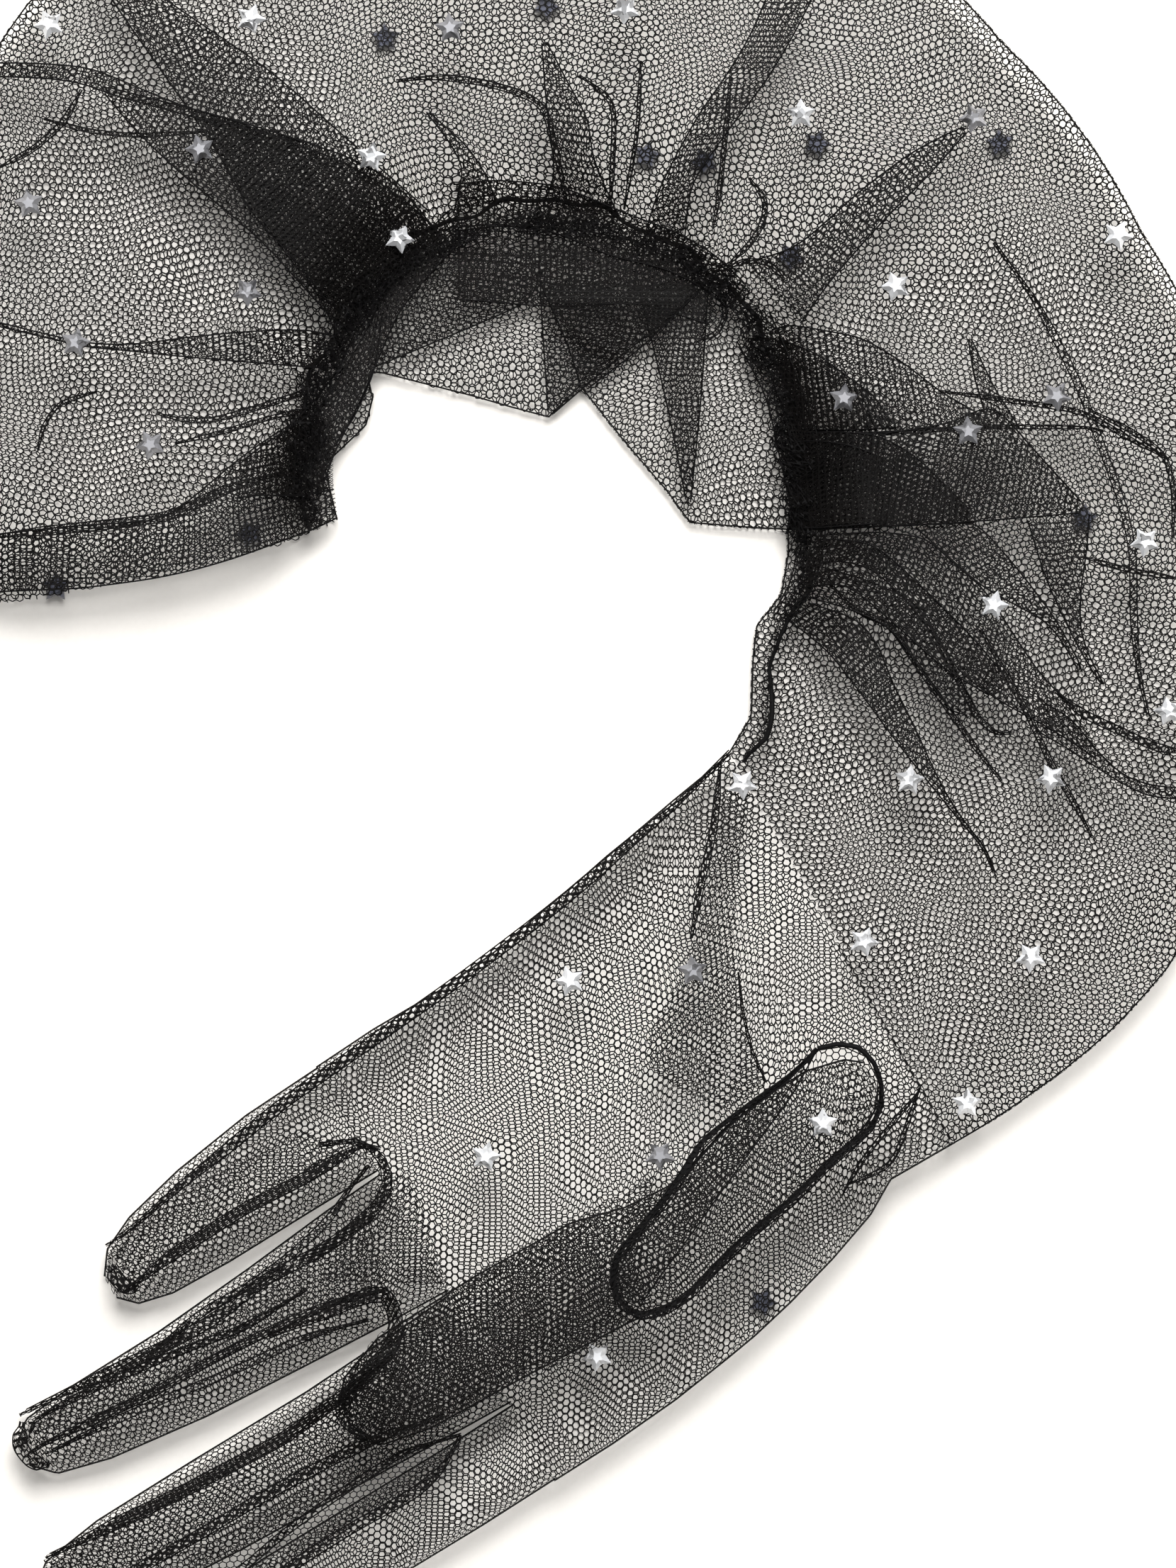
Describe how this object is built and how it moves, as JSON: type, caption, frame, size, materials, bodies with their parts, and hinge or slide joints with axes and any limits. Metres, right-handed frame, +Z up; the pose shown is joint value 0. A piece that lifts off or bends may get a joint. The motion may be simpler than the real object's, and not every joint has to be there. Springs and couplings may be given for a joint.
{
  "type": "opera glove",
  "caption": "long evening glove of black net, ruched down the inner side of its sleeve and set with star stones, lying flat in a curve",
  "frame": {"origin": "on the surface that the glove lies on, under the middle of the palm", "axes": "-X to the fingertips, +X to the wrist, +Y to the little finger's side, +Z up, out of the palm"},
  "size_m": [0.3009, 0.2885, 0.0226],
  "materials": {
    "tulle": "sheer hexagonal net of fine black yarn",
    "thread": "black sewing thread and covered elastic",
    "crystal": "cut clear stone on silver foil",
    "crystal_back": "cut stone with a dark blue-grey back"
  },
  "bodies": {
    "root": {"hand": "tulle", "finger_little": "tulle", "finger_ring": "tulle", "finger_middle": "tulle", "finger_index": "tulle", "thumb": "tulle", "sleeve_front": "tulle", "sleeve_back": "tulle", "thumb_seam": "thread", "ruching_elastic": "thread", "star_01": "crystal", "star_02": "crystal", "star_03": "crystal", "star_04": "crystal", "star_05": "crystal", "star_06": "crystal", "star_07": "crystal", "star_08": "crystal", "star_09": "crystal", "star_10": "crystal", "star_11": "crystal", "star_12": "crystal", "star_13": "crystal", "star_14": "crystal", "star_15": "crystal", "star_16": "crystal", "star_17": "crystal", "star_18": "crystal", "star_19": "crystal", "star_20": "crystal", "star_21": "crystal", "star_22": "crystal", "star_23": "crystal", "star_24": "crystal", "star_25": "crystal", "star_26": "crystal", "star_27": "crystal", "star_28": "crystal", "star_29": "crystal", "star_30": "crystal", "star_31": "crystal", "star_32": "crystal", "star_33": "crystal", "star_under_01": "crystal_back", "star_under_02": "crystal_back", "star_under_03": "crystal_back", "star_under_04": "crystal_back", "star_under_05": "crystal_back", "star_under_06": "crystal_back", "star_under_07": "crystal_back", "star_under_08": "crystal_back", "star_under_09": "crystal_back", "star_under_10": "crystal_back", "star_under_11": "crystal_back"}
  },
  "joints": []
}
